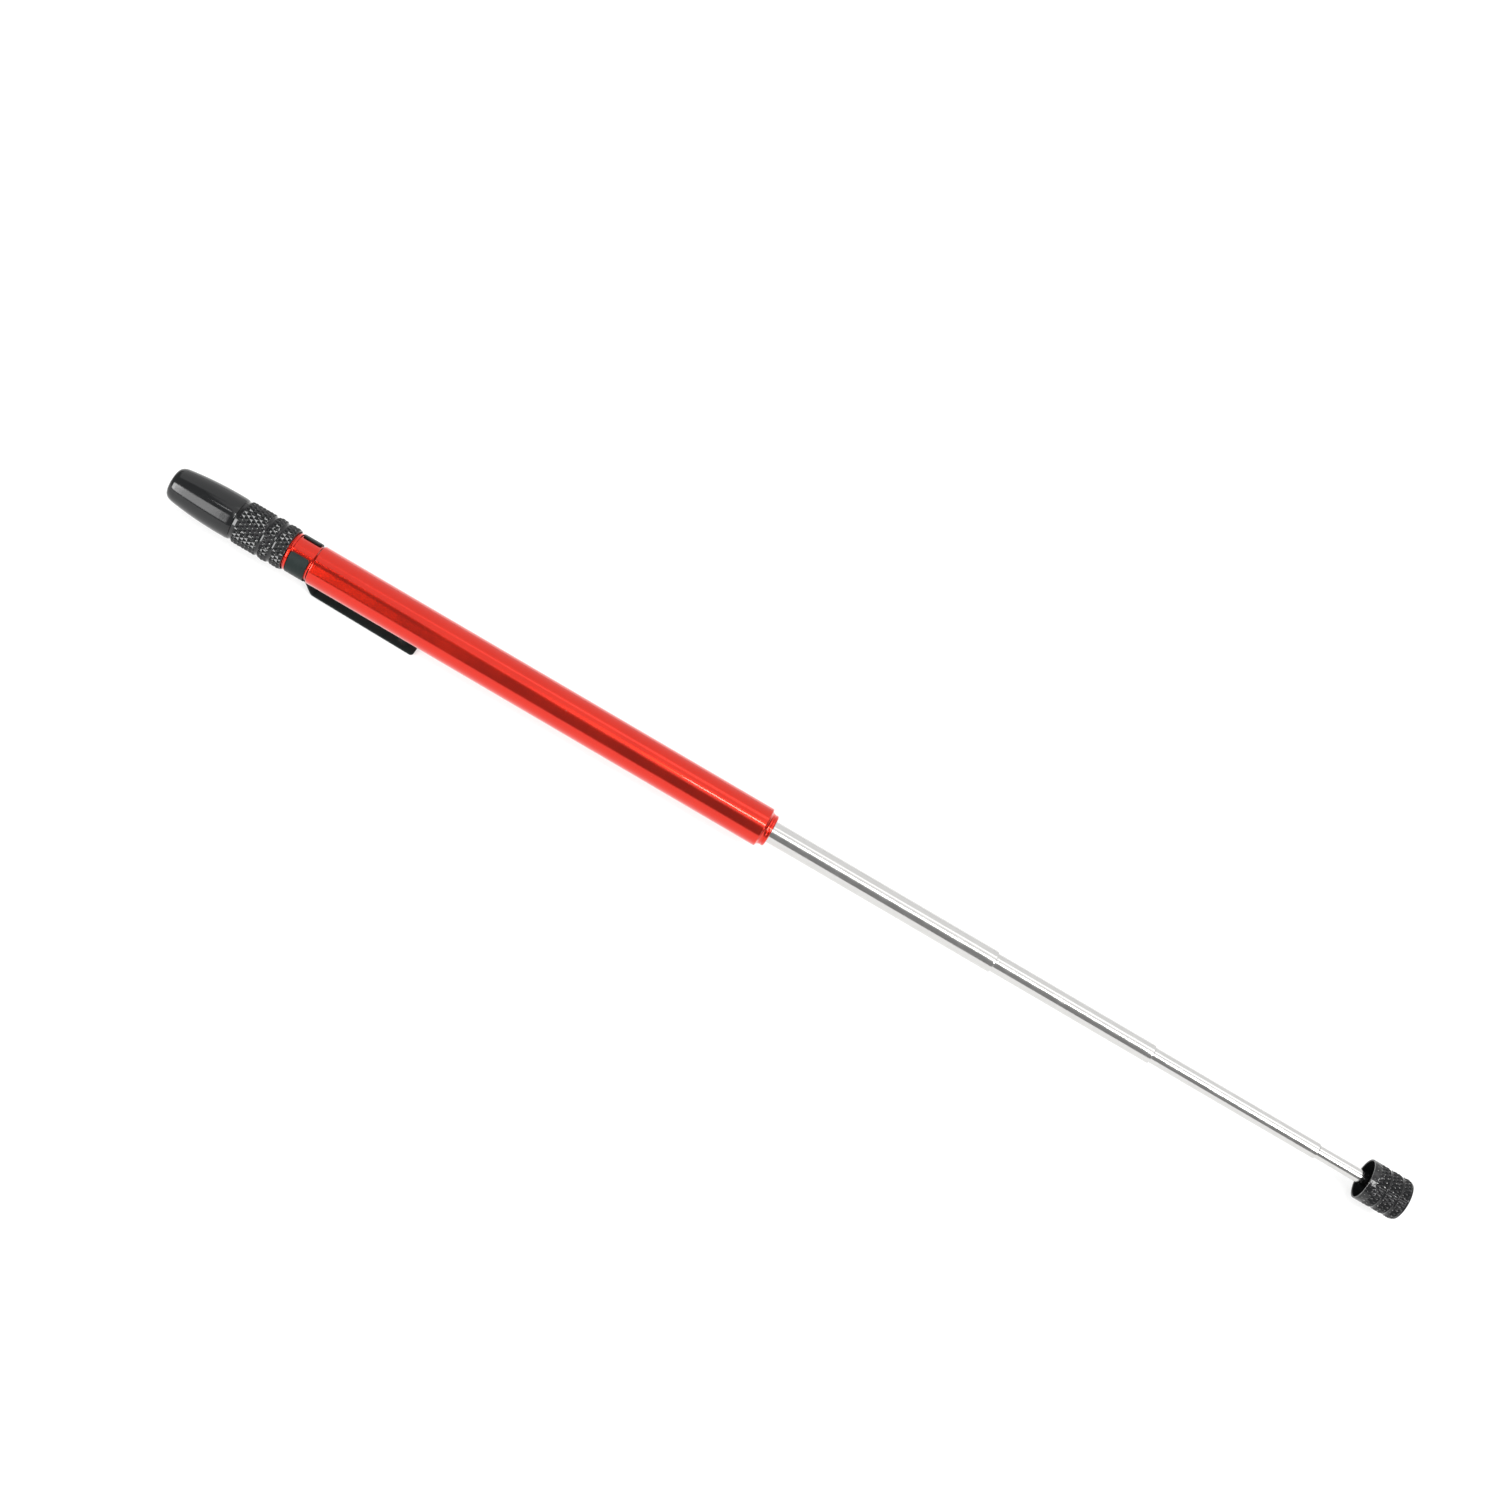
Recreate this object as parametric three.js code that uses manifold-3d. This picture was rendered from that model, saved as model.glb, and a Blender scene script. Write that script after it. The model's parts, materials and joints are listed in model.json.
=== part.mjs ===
// A pen-size telescoping magnetic pick-up tool with a twist-on LED torch head. Millimetres, +Z up.
//
// The tool lies along X, with the torch at -X and the magnet at +X, its sections partly pulled out and
// its pocket clip straight down. A station is a distance along the tool, counted from the torch's tip.
// The origin is under the middle of the tool, at the height of the lowest edge of the clip.
import * as THREE from "three";
import { mergeVertices } from "three/addons/utils/BufferGeometryUtils.js";
import Module from "manifold-3d";

const wasm = await Module();
wasm.setup();

// ---- Driving dimensions ----

// Sides of a full circle, on the outer shells and on everything inside them
const shellSides = 32;
const innerSides = 24;

// Gaps left between pieces: on the radius of a fit, and between faces that rest on each other
const fitGap = 0.04;
const seatGap = 0.03;

// Torch head
const headRear = 29.9;
const headMouthRadius = 2.6;
const headBandRadius = 5.15;
const headBoreRadius = 4.2;
const headThreadRadius = 4.56;
const headThreadStart = 17.4;
const ledShoulder = 8.35;
const ledPocketRadius = 3;

// LED and what is behind it
const ledRadius = 2.5;
const ledTip = 0.5;
const ledFlangeRadius = 2.9;
const ledRear = 9.4;
const leadPitch = 2.54;
const leadWidth = 0.45;
const holderFront = 9.5;
const holderRear = 12.45;
const buttonRadius = 1.2;

// Button cells, in their sleeve, and the spring behind them
const cellRadius = 3.95;
const cellHeight = 3.6;
const cellCount = 3;
const firstCell = 13.35;
const sleeveFront = 13;
const sleeveLipRadius = 2.6;
const springWireRadius = 0.22;
const springCoilRadius = 2.9;
const springTurns = 4.5;

// Barrel
const barrelRadius = 4.65;
const barrelBore = 4;
const spigotStart = 17.7;
const spigotRadius = 4.48;
const spigotBore = 4.145;
const collarStart = 30.2;
const collarRadius = 4.55;
const grooveStart = 30.8;
const grooveEnd = 36;
const grooveRadius = 4.22;
const bayDivide = 30.7;
const bulkheadRear = 33.4;
const noseStart = 151;
const noseRadius = 3.75;
const noseFace = 152.8;
const noseShoulder = 150.2;

// Pocket clip: one strip of sheet, rolled into a split ring and bent out into an arm
const clipSheet = 0.41;
const clipRingStart = 30.95;
const clipRingEnd = 35.5;
const clipRingBore = 4.27;
const clipRingGap = THREE.MathUtils.degToRad(68);
const clipArmHalfWidth = 2.9;
const clipBendEnd = 37.9;
const clipBendDepth = 7.21;
const clipTip = 64.1;
const clipTipDepth = 7.88;
const clipCornerRadius = 0.8;
const clipDimple = { station: 60.6, radius: 2, height: 1.1 };

// Telescoping sections, from the thickest: outer radius, station of the mouth, and the whole length.
// The last one has no mouth: it ends in the magnet cap.
const tubeWall = 0.2;
const tubeRadii = [2.565, 2.21, 1.855, 1.55];
const tubeMouths = [209.8, 250.2, 292.5];
const tubeLengths = [119.5, 119.4, 114.7, 111.4];
const mouthLip = 0.7;
const neckDepth = 0.12;
const neckLength = 4;
const tailBead = 0.6;
const tailBushLength = 6;
const noseBushStart = 145;

// Magnet cap, with a cup at its rear that goes over the barrel's nose
const capRear = 304.4;
const capFront = 314.4;
const capBandRadius = 4.87;
const capGrooveRadius = 4.68;
const cupRadius = 4.42;
const cupFloor = 309;
const webFront = 310.4;
const rivetHeadFront = 310.95;
const magnetPocketRadius = 4.05;
const magnetStart = 311.65;
const magnetFace = 314.55;

// ---- Finishes ----

const blackAnodised = { color: 0x1d1f20, roughness: 0.28, metalness: 0.6 };
const redAnodised = { color: 0xd82618, roughness: 0.25, metalness: 0.75 };
const blackPaint = { color: 0x1b2122, roughness: 0.5, metalness: 0.2 };
const chromePlate = { color: 0xd9d9d6, roughness: 0.12, metalness: 1 };
const nickelPlate = { color: 0xb9b8b4, roughness: 0.25, metalness: 1 };
const brass = { color: 0xc39a4a, roughness: 0.3, metalness: 1 };
const bronze = { color: 0xb07d4a, roughness: 0.35, metalness: 1 };
const springSteel = { color: 0xa8abad, roughness: 0.3, metalness: 1 };
const blackSteel = { color: 0x202223, roughness: 0.4, metalness: 0.7 };
const clearEpoxy = { color: 0xf1f5f7, roughness: 0.05, metalness: 0 };
const whitePlastic = { color: 0xe6e5e0, roughness: 0.55, metalness: 0 };

// ---- Helpers ----

const xAxis = new THREE.Vector3(1, 0, 0);
const yAxis = new THREE.Vector3(0, 1, 0);
const zAxis = new THREE.Vector3(0, 0, 1);

const tool = new THREE.Group();
tool.name = "pick_up_tool";
tool.position.set(-magnetFace / 2, 0, clipTipDepth);

function add(name, geometry, finish) {
  const mesh = new THREE.Mesh(geometry, new THREE.MeshStandardMaterial(finish));
  mesh.name = name;
  tool.add(mesh);
}

// Points of a quadratic curve between two [station, radius] points, without its first point.
function curve(start, control, end, steps) {
  const [a, b, c] = [start, control, end].map(([station, radius]) => new THREE.Vector2(station, radius));
  const points = new THREE.QuadraticBezierCurve(a, b, c).getPoints(steps);
  return points.slice(1).map((point) => [point.x, point.y]);
}

// A body turned about the tool's axis. Its outline is a list of [station, radius] points, along the
// outside first and then back along the bore. Without a bore it starts and ends on the axis.
function turned(outline, sides = innerSides) {
  const points = outline.map(([station, radius]) => new THREE.Vector2(radius, station));
  if (points[0].x > 0) points.push(points[0].clone());
  return new THREE.LatheGeometry(points, sides).rotateZ(-Math.PI / 2);
}

// A plain ring between two stations.
function ring(start, end, bore, radius) {
  return turned([[start, radius], [end, radius], [end, bore], [start, bore]]);
}

// A section drawn across the tool, with +Y to its right and +Z up, run from one station to another.
// An arc in it gets two sides for each curve segment.
function extrudedAlong(section, start, end, curveSegments) {
  const geometry = new THREE.ExtrudeGeometry(section, {
    depth: end - start,
    bevelEnabled: false,
    curveSegments,
  });
  geometry.applyMatrix4(new THREE.Matrix4().makeBasis(yAxis, zAxis, xAxis));
  return geometry.translate(start, 0, 0);
}

// A ring split by a gap at its top, as a rolled strip is.
function splitRing(start, end, bore, radius, gapAngle) {
  const first = Math.PI / 2 + gapAngle / 2;
  const last = first + 2 * Math.PI - gapAngle;
  const section = new THREE.Shape();
  section.absarc(0, 0, radius, first, last, false);
  section.absarc(0, 0, bore, last, first, true);
  section.closePath();
  return extrudedAlong(section, start, end, innerSides / 2);
}

function toSolid(geometry) {
  const bare = geometry.index ? geometry.toNonIndexed() : geometry.clone();
  bare.deleteAttribute("normal");
  bare.deleteAttribute("uv");
  const merged = mergeVertices(bare, 1e-4);
  const mesh = new wasm.Mesh({
    numProp: 3,
    vertProperties: merged.attributes.position.array,
    triVerts: new Uint32Array(merged.index.array),
  });
  return new wasm.Manifold(mesh);
}

function toGeometry(solid) {
  const { vertProperties, triVerts } = solid.getMesh();
  const geometry = new THREE.BufferGeometry();
  geometry.setAttribute("position", new THREE.BufferAttribute(vertProperties, 3));
  geometry.setIndex(new THREE.BufferAttribute(triVerts, 1));
  geometry.computeVertexNormals();
  return geometry;
}

// ---- Torch head ----

function torchHead() {
  const band = headBandRadius;
  const noseEdge = [0, 3.1];
  const noseShoulderPoint = [2.1, 4.15];
  const widest = [13.5, 5];
  const outside = [
    noseEdge,
    ...curve(noseEdge, [0.4, 3.95], noseShoulderPoint, 4),
    ...curve(noseShoulderPoint, [7.5, 4.95], widest, 6),
    ...curve(widest, [15.2, 5], [16.5, 4.85], 2),
    [16.65, 4.65],
    [17.2, 4.65],
  ];
  const firstBand = [[17.3, band - 0.2], [17.55, band], [23.3, band], [23.55, band - 0.15]];
  const secondBand = [
    [23.8, band - 0.28],
    [24.1, band - 0.08],
    ...curve([24.1, band - 0.08], [25.3, band + 0.26], [26.5, band - 0.08], 4),
    [26.8, band - 0.28],
  ];
  const thirdBand = [
    [27.1, band - 0.18], [27.35, band - 0.05],
    [29.7, band - 0.05], [headRear, band - 0.2],
  ];
  const bore = [
    [headRear, headThreadRadius],
    [headThreadStart, headThreadRadius],
    [headThreadStart, headBoreRadius],
    [ledRear + fitGap, headBoreRadius],
    [ledRear + fitGap, ledPocketRadius],
    [ledShoulder, ledPocketRadius],
    [ledShoulder, headMouthRadius],
    [0.25, headMouthRadius],
    [0, headMouthRadius + 0.2],
  ];
  return turned([...outside, ...firstBand, ...secondBand, ...thirdBand, ...bore], shellSides);
}

function ledLens() {
  const dome = [[ledTip, 0]];
  const domeSteps = 5;
  for (let i = 1; i <= domeSteps; i += 1) {
    const angle = (i / domeSteps) * (Math.PI / 2);
    dome.push([ledTip + ledRadius * (1 - Math.cos(angle)), ledRadius * Math.sin(angle)]);
  }
  const flangeFront = ledShoulder + fitGap;
  const body = [
    [flangeFront, ledRadius], [flangeFront, ledFlangeRadius],
    [ledRear, ledFlangeRadius], [ledRear, 0],
  ];
  return turned([...dome, ...body]);
}

// A lead runs straight back from the LED, then its foot turns from one height to another.
function lead(height, footTo) {
  const start = ledRear + seatGap;
  const footFront = holderRear + 0.05;
  const footRear = footFront + 0.25;
  const outer = height + (Math.sign(height - footTo) * leadWidth) / 2;
  const inner = height - (Math.sign(height - footTo) * leadWidth) / 2;
  const side = new THREE.Shape();
  side.moveTo(start, inner);
  side.lineTo(footFront, inner);
  side.lineTo(footFront, footTo);
  side.lineTo(footRear, footTo);
  side.lineTo(footRear, outer);
  side.lineTo(start, outer);
  side.closePath();
  const geometry = new THREE.ExtrudeGeometry(side, { depth: leadWidth, bevelEnabled: false });
  geometry.applyMatrix4(new THREE.Matrix4().makeBasis(xAxis, zAxis, yAxis.clone().negate()));
  return geometry.translate(0, leadWidth / 2, 0);
}

function ledHolder() {
  const holeRadius = 0.42;
  const section = new THREE.Shape().absarc(0, 0, headBoreRadius - 2 * fitGap, 0, 2 * Math.PI, false);
  for (const side of [-1, 1]) {
    const hole = new THREE.Path();
    hole.absarc(0, (side * leadPitch) / 2, holeRadius, 0, 2 * Math.PI, true);
    section.holes.push(hole);
  }
  return extrudedAlong(section, holderFront, holderRear, innerSides / 2);
}

function contactButton() {
  const front = holderRear + 0.33;
  const rear = firstCell - seatGap;
  return turned([[front, 0], [front, buttonRadius], [rear - 0.2, buttonRadius], [rear, 0.7], [rear, 0]]);
}

function addTorchHead() {
  add("torch_head", torchHead(), blackAnodised);
  add("led_lens", ledLens(), clearEpoxy);
  add("led_anode_lead", lead(leadPitch / 2, -0.3), springSteel);
  add("led_cathode_lead", lead(-leadPitch / 2, fitGap * 2 - headBoreRadius), springSteel);
  add("led_holder", ledHolder(), whitePlastic);
  add("contact_button", contactButton(), brass);
}

// ---- Battery bay ----

// A cell's can faces the lamp. Its smaller cap faces the spring.
function buttonCell(start) {
  const capStep = start + cellHeight - 0.35;
  const end = start + cellHeight;
  return turned([
    [start, 0],
    [start, cellRadius - 0.15],
    [start + 0.15, cellRadius],
    [capStep - 0.15, cellRadius],
    [capStep, cellRadius - 0.2],
    [capStep, 3.2],
    [end, 3.1],
    [end, 0],
  ]);
}

function batterySleeve(end) {
  const bore = cellRadius + 0.035;
  const radius = spigotBore - fitGap;
  const lipRear = firstCell - 0.05;
  return turned([
    [sleeveFront, radius],
    [end, radius],
    [end, bore],
    [lipRear, bore],
    [lipRear, sleeveLipRadius],
    [sleeveFront, sleeveLipRadius],
  ]);
}

// A coil between two faces, with its turns closer together at the ends.
function batterySpring(start, end) {
  const travel = end - start - 2 * springWireRadius;
  const route = new THREE.Curve();
  route.getPoint = (t, target = new THREE.Vector3()) => {
    const along = t - (0.7 * Math.sin(2 * Math.PI * t)) / (2 * Math.PI);
    const angle = 2 * Math.PI * springTurns * t;
    const y = springCoilRadius * Math.cos(angle);
    const z = springCoilRadius * Math.sin(angle);
    return target.set(start + springWireRadius + travel * along, y, z);
  };
  const wire = new THREE.Shape().absarc(0, 0, springWireRadius, 0, 2 * Math.PI, false);
  return new THREE.ExtrudeGeometry(wire, { steps: 63, curveSegments: 3, extrudePath: route });
}

function bulkheadPlug() {
  const front = bayDivide + 0.05;
  const radius = barrelBore - fitGap;
  const bossFront = front - 1.3;
  const bossRadius = 2.2;
  return turned([
    [bossFront, 0],
    [bossFront, bossRadius - 0.3],
    [bossFront + 0.3, bossRadius],
    [front, bossRadius],
    [front, radius],
    [bulkheadRear, radius],
    [bulkheadRear, 0],
  ]);
}

function addBatteryBay() {
  const cellPitch = cellHeight + seatGap;
  for (let i = 0; i < cellCount; i += 1) {
    add(`cell_${i + 1}`, buttonCell(firstCell + i * cellPitch), nickelPlate);
  }
  const stackEnd = firstCell + cellCount * cellPitch;
  add("battery_sleeve", batterySleeve(stackEnd + 0.3), whitePlastic);
  add("battery_spring", batterySpring(stackEnd, bayDivide + 0.02), springSteel);
  add("bulkhead_plug", bulkheadPlug(), brass);
}

// ---- Barrel ----

function barrel() {
  const spigot = [
    [spigotStart, spigotRadius - 0.15], [spigotStart + 0.2, spigotRadius],
    [collarStart, spigotRadius],
  ];
  const collar = [[collarStart, collarRadius - 0.05], [30.3, collarRadius], [30.7, collarRadius]];
  const groove = [[grooveStart, grooveRadius], [grooveEnd, grooveRadius]];
  const shoulder = [[grooveEnd, barrelRadius - 0.33], [grooveEnd + 0.35, barrelRadius]];
  const nose = [
    [noseStart - 0.1, barrelRadius],
    [noseStart, barrelRadius - 0.12],
    ...curve([noseStart, barrelRadius - 0.12], [noseStart + 0.25, 3.85], [151.8, noseRadius], 4),
    [152.4, noseRadius],
    ...curve([152.4, noseRadius], [noseFace, noseRadius - 0.1], [noseFace, noseRadius - 0.5], 3),
  ];
  const tubeHole = tubeRadii[0] + 0.075;
  const bore = [
    [noseFace, tubeHole],
    [noseShoulder, tubeHole],
    [noseShoulder, barrelBore],
    [bayDivide - 0.05, barrelBore],
    [bayDivide - 0.05, spigotBore],
    [spigotStart, spigotBore],
  ];
  return turned([...spigot, ...collar, ...groove, ...shoulder, ...nose, ...bore], shellSides);
}

function addBarrel() {
  const boreFit = barrelBore - fitGap;
  add("barrel", barrel(), redAnodised);
  add("nose_bush", ring(noseBushStart, noseShoulder - 0.05, tubeRadii[0] + 0.045, boreFit), brass);
}

// ---- Pocket clip ----

// Depth of the arm's outer face under the tool's axis: an S-bend, then a straight slope to the tip.
function armDepth(station) {
  const start = clipRingEnd - 0.75;
  const ringRadius = clipRingBore + clipSheet;
  const slope = (clipTipDepth - clipBendDepth) / (clipTip - clipBendEnd);
  if (station >= clipBendEnd) return clipBendDepth + slope * (station - clipBendEnd);
  if (station <= start) return ringRadius;
  const t = (station - start) / (clipBendEnd - start);
  const rise = clipBendDepth - ringRadius;
  const run = slope * (clipBendEnd - start);
  return ringRadius + rise * (3 * t ** 2 - 2 * t ** 3) + run * (t ** 3 - t ** 2);
}

// How much the arm's edge still curls up with the ring, and flattens along the bend.
function armCurl(station, across) {
  const flat = THREE.MathUtils.smoothstep(station, clipRingEnd - 0.75, clipBendEnd + 1);
  const radius = clipRingBore + clipSheet;
  return (1 - flat) * (radius - Math.sqrt(radius ** 2 - across ** 2));
}

// The small bump, pressed in from outside, that grips the cloth of a pocket.
function armDimple(station, across) {
  const distance = Math.hypot(station - clipDimple.station, across) / clipDimple.radius;
  return distance < 1 ? clipDimple.height * (1 - distance ** 2) ** 2 : 0;
}

// The arm is a flat strip whose points are moved to the bent shape. It starts inside the ring's sheet.
function clipArm() {
  const root = clipRingEnd - 1.5;
  const length = clipTip - root;
  const strip = new THREE.BoxGeometry(length, 2 * clipArmHalfWidth, clipSheet, 40, 6, 1);
  strip.translate(root + length / 2, 0, -clipSheet / 2);
  const position = strip.attributes.position;
  const cornerStart = clipTip - clipCornerRadius;
  for (let i = 0; i < position.count; i += 1) {
    const station = position.getX(i);
    const past = THREE.MathUtils.clamp(station - cornerStart, 0, clipCornerRadius);
    const cornerCut = clipCornerRadius - Math.sqrt(clipCornerRadius ** 2 - past ** 2);
    const across = position.getY(i) * (1 - cornerCut / clipArmHalfWidth);
    const slope = (armDepth(station + 0.01) - armDepth(station - 0.01)) / 0.02;
    const inward = (position.getZ(i) + clipSheet) * Math.sqrt(1 + slope ** 2);
    const lift = armCurl(station, across) + armDimple(station, across);
    position.setXYZ(i, station, across, inward + lift - armDepth(station));
  }
  return strip;
}

function addPocketClip() {
  const ringRadius = clipRingBore + clipSheet;
  const band = splitRing(clipRingStart, clipRingEnd, clipRingBore, ringRadius, clipRingGap);
  add("pocket_clip", toGeometry(toSolid(band).add(toSolid(clipArm()))), blackPaint);
}

// ---- Telescoping sections ----

const tubeTails = tubeLengths.map((length, i) => (i < 3 ? tubeMouths[i] : webFront) - length);

// A section's mouth is rolled in, so that the next section's slip spring can't leave it.
function mouthOutline(mouth, radius, nextRadius) {
  const lipRadius = nextRadius + 0.045;
  return [
    [mouth - 0.15, radius],
    [mouth, radius - 0.15],
    [mouth, lipRadius],
    [mouth - mouthLip, lipRadius],
    [mouth - mouthLip, radius - tubeWall],
  ];
}

// A necked tail holds the slip spring between a bead and the section's full diameter.
function neckedTail(tail, radius) {
  const bore = radius - tubeWall;
  const neckStart = tail + tailBead;
  const neckEnd = neckStart + neckLength;
  return {
    outside: [
      [tail, radius - 0.03],
      [neckStart, radius - 0.03],
      [neckStart, radius - neckDepth],
      [neckEnd, radius - neckDepth],
      [neckEnd + 0.15, radius],
    ],
    bore: [[neckEnd + 0.3, bore], [neckEnd, bore - neckDepth], [tail, bore - neckDepth]],
  };
}

function addFirstSection() {
  const [radius, nextRadius] = tubeRadii;
  const tail = tubeTails[0];
  const bore = radius - tubeWall;
  const outline = [[tail, radius], ...mouthOutline(tubeMouths[0], radius, nextRadius), [tail, bore]];
  add("tube_1", turned(outline), chromePlate);
  const bushRadius = barrelBore - 0.07;
  const bushBore = radius + fitGap;
  const grooveFloor = bushRadius - 0.55;
  const grooveFrom = tail + 2;
  const grooveTo = tail + 4;
  const bush = [
    [tail, bushRadius],
    [grooveFrom, bushRadius],
    [grooveFrom, grooveFloor],
    [grooveTo, grooveFloor],
    [grooveTo, bushRadius],
    [tail + tailBushLength, bushRadius],
    [tail + tailBushLength, bushBore],
    [tail, bushBore],
  ];
  add("tail_bush", turned(bush), brass);
  const [ringBore, ringRadius] = [grooveFloor + fitGap, barrelBore - fitGap];
  const friction = splitRing(grooveFrom + 0.1, grooveTo - 0.1, ringBore, ringRadius, 0.3);
  add("friction_ring", friction, bronze);
}

function addInnerSection(i) {
  const radius = tubeRadii[i];
  const tail = tubeTails[i];
  const outerBore = tubeRadii[i - 1] - tubeWall;
  const necked = neckedTail(tail, radius);
  const isLast = i === tubeRadii.length - 1;
  const plainEnd = [[webFront, radius], [webFront, radius - tubeWall]];
  const front = isLast ? plainEnd : mouthOutline(tubeMouths[i], radius, tubeRadii[i + 1]);
  add(`tube_${i + 1}`, turned([...necked.outside, ...front, ...necked.bore]), chromePlate);
  const springStart = tail + tailBead + 0.1;
  const springEnd = tail + tailBead + neckLength - 0.1;
  const [springBore, springRadius] = [radius - neckDepth + fitGap, outerBore - fitGap];
  const spring = splitRing(springStart, springEnd, springBore, springRadius, 0.5);
  add(`slip_spring_${i + 1}`, spring, bronze);
}

function addSections() {
  addFirstSection();
  for (let i = 1; i < tubeRadii.length; i += 1) addInnerSection(i);
}

// ---- Magnet end ----

function magnetCap() {
  const band = capBandRadius;
  const groove = capGrooveRadius;
  const edge = 0.5;
  const rim = [
    [capRear, cupRadius + 0.12], [capRear, band - 0.14],
    [capRear + 0.14, band - 0.02], [305.35, band - 0.02],
  ];
  const bands = [
    [305.4, band],
    [308.55, band],
    [308.75, groove],
    [308.85, groove],
    [309.05, band],
    [311.6, band],
    [311.8, groove],
    [311.95, groove],
    [312.15, band],
    [capFront - edge, band],
    ...curve([capFront - edge, band], [capFront, band], [capFront, band - edge], 4),
  ];
  const inside = [
    [capFront, magnetPocketRadius],
    [rivetHeadFront, magnetPocketRadius],
    [rivetHeadFront, 2.5],
    [webFront, 2.5],
    [webFront, tubeRadii[3] + fitGap],
    [cupFloor, tubeRadii[3] + fitGap],
    [cupFloor, cupRadius],
    [capRear + 0.12, cupRadius],
  ];
  return turned([...rim, ...bands, ...inside], shellSides);
}

function capRivet() {
  const shank = tubeRadii[3] - tubeWall - fitGap;
  const shankStart = webFront - 5;
  const headFront = rivetHeadFront - seatGap;
  return turned([
    [shankStart, 0],
    [shankStart, shank - 0.2],
    [shankStart + 0.3, shank],
    [webFront + seatGap, shank],
    [webFront + seatGap, 2.4],
    [headFront, 2.4],
    [headFront, 0],
  ]);
}

function magnetDisc() {
  const radius = magnetPocketRadius - fitGap;
  const chamfer = 0.15;
  return turned([
    [magnetStart, 0],
    [magnetStart, radius],
    [magnetFace - chamfer, radius],
    [magnetFace, radius - chamfer],
    [magnetFace, 0],
  ]);
}

function backingPlate() {
  const front = rivetHeadFront + seatGap;
  const rear = magnetStart - seatGap;
  const radius = magnetPocketRadius - fitGap;
  return turned([[front, 0], [front, radius], [rear, radius], [rear, 0]]);
}

function addMagnetEnd() {
  add("magnet_cap", magnetCap(), blackAnodised);
  add("cap_rivet", capRivet(), brass);
  add("magnet_backing_plate", backingPlate(), blackSteel);
  add("magnet", magnetDisc(), nickelPlate);
}

addTorchHead();
addBatteryBay();
addBarrel();
addPocketClip();
addSections();
addMagnetEnd();

export default tool;
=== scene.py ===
import json
import math

import bmesh
import bpy
import numpy as np
from mathutils import Matrix, Vector


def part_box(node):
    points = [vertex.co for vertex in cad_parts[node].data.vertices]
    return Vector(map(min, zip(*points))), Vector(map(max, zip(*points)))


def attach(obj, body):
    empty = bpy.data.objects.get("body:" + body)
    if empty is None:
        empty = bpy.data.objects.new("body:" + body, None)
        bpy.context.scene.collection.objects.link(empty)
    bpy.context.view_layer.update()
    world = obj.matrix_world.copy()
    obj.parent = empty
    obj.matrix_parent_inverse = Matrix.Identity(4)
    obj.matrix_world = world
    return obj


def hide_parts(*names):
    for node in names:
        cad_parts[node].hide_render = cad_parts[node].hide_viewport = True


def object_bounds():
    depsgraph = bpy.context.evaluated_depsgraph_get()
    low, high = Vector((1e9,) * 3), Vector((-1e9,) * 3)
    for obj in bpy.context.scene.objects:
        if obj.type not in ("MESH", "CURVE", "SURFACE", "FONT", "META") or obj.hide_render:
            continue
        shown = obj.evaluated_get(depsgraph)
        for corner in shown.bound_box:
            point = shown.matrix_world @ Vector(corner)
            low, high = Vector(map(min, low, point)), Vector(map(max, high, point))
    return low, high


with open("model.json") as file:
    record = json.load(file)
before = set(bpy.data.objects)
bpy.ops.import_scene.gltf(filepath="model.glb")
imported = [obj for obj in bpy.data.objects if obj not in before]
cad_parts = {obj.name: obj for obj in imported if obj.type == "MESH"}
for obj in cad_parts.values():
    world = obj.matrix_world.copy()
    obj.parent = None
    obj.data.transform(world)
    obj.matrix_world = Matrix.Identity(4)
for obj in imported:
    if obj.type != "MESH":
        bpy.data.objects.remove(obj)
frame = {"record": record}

cad_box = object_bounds()

MM = 0.001
TAU = 2 * math.pi

# ---- What the frame says ----

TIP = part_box("torch_head")[0].x
AXIS_Z = sum(corner.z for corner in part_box("magnet")) / 2
RECORD = frame["record"]
BODY = {node: body for body, nodes in RECORD["behaviour"]["bodies"].items() for node in nodes}
SLOT = {part["node"]: part["material_slot"] for part in RECORD["subparts"]}


def span(node):
    """The stations where a node starts and ends, and its largest radius, in millimetres."""
    low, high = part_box(node)
    return (low.x - TIP) / MM, (high.x - TIP) / MM, high.y / MM


def to_frame(points):
    """Points of (station, across, height) in millimetres, as points of the frame in metres."""
    return np.asarray(points, float).reshape(-1, 3) * MM + (TIP, 0, AXIS_Z)


# ---- Camera: above the tool, which runs down to the right ----

ELEVATION = math.radians(54.5)
ROLL = math.radians(30.37)
DISTANCE = 0.5155
AIM_STATION = 132.0
AIM_ABOVE = 13.13
FOCAL_LENGTH = 56
SENSOR_WIDTH = 36
SHIFT = (0.02, -0.0116)
NEAREST = 0.01


def add_camera():
    """The camera aims at a station of the tool, and a little above it."""
    camera = bpy.data.objects.new("camera", bpy.data.cameras.new("camera"))
    bpy.context.scene.collection.objects.link(camera)
    bpy.context.scene.camera = camera
    camera.data.lens = FOCAL_LENGTH
    camera.data.sensor_width = SENSOR_WIDTH
    camera.data.shift_x, camera.data.shift_y = SHIFT
    camera.data.clip_start = NEAREST
    back = Vector((0, -math.cos(ELEVATION), math.sin(ELEVATION)))
    level_up = Vector((0, math.sin(ELEVATION), math.cos(ELEVATION)))
    right = math.cos(ROLL) * Vector((1, 0, 0)) + math.sin(ROLL) * level_up
    up = back.cross(right)
    aim = Vector((TIP + AIM_STATION * MM, 0, AXIS_Z)) + AIM_ABOVE * MM * level_up
    facing = Matrix((right, up, back)).transposed().to_4x4()
    camera.matrix_world = Matrix.Translation(aim + DISTANCE * back) @ facing


# ---- Light and floor ----

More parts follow.
